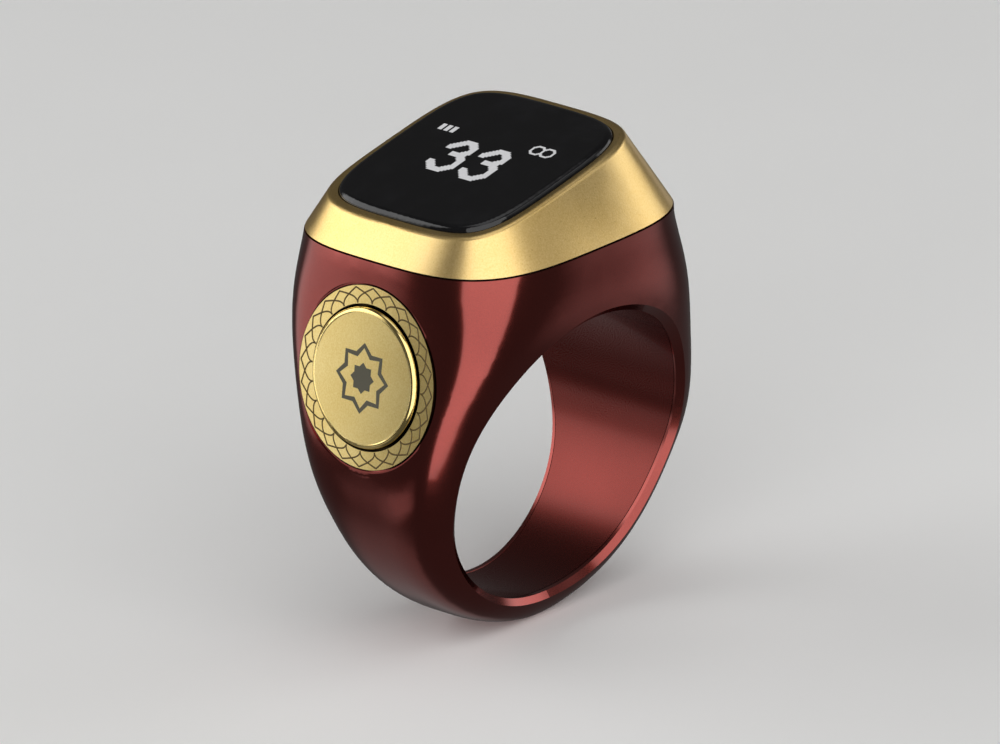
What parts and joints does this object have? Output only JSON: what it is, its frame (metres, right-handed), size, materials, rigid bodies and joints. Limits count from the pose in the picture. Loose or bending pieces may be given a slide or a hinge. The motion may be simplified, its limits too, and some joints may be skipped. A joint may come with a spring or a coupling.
{
  "type": "digital tasbih counter",
  "caption": "Electronic prayer-bead counter worn as a finger ring: tapering body with a round bore, tilted display under glass in a wedge bezel, and a push button on the side.",
  "frame": {"origin": "centre of the finger bore", "axes": "+Y along the finger, +Z from the bore up to the display, the push button on the -X side"},
  "size_m": [0.0257, 0.0198, 0.0324],
  "materials": {
    "red_body": "deep red metallic lacquer, gloss",
    "red_liner": "deep red metallic lacquer, gloss",
    "gold_bezel": "gold, fine blasted satin",
    "gold_trim": "gold, satin with engraved lines",
    "gold_cap": "gold, fine blasted satin with a polished edge",
    "black_glass": "dark tinted, polished",
    "black_gasket": "matte",
    "black_adhesive": "matte",
    "display": "gloss black",
    "ribbon": "amber film",
    "board": "green solder mask",
    "chip": "matte black",
    "ceramic": "tan ceramic",
    "steel": "satin",
    "cell_foil": "satin foil",
    "contact": "gold plated",
    "tray": "matte black",
    "rotor_metal": "sintered",
    "switch_plastic": "matte black",
    "plunger": "ivory"
  },
  "bodies": {
    "ring": {"ring_shell": "red_body", "inner_liner": "red_liner", "inner_cover": "red_liner", "charging_contacts": "contact", "display_bezel": "gold_bezel", "bezel_gasket": "black_gasket", "cover_glass": "black_glass", "glass_adhesive": "black_adhesive", "oled_panel": "display", "oled_flex": "ribbon", "battery_tray": "tray", "battery_cell": "cell_foil", "battery_tabs": "steel", "main_board": "board", "bluetooth_chip": "chip", "power_chip": "chip", "crystal": "steel", "board_passives": "ceramic", "board_screws": "steel", "motor_base": "switch_plastic", "motor_case": "steel", "motor_shaft": "steel", "button_trim_ring": "gold_trim", "switch_body": "switch_plastic", "switch_cover": "steel", "switch_board": "board", "switch_flex": "ribbon"},
    "button": {"button_cap": "gold_cap"},
    "plunger": {"switch_plunger": "plunger"},
    "rotor": {"motor_rotor": "rotor_metal"}
  },
  "joints": [
    {"name": "button_press", "type": "slide", "parent": "ring", "child": "button", "axis": [0.9815, 0, -0.1917], "range_m": [0, 0.0003], "stiffness_N_per_m": 1500},
    {"name": "plunger_press", "type": "slide", "parent": "ring", "child": "plunger", "axis": [0.9815, 0, -0.1917], "range_m": [0, 0.0003]},
    {"name": "rotor_spin", "type": "hinge", "parent": "ring", "child": "rotor", "pos_m": [0.00439, 0, 0.01551], "axis": [0, 0, 1], "continuous": true}
  ],
  "couplings": [
    {"joint": "plunger_press", "follows": "button_press", "ratio": 1}
  ]
}
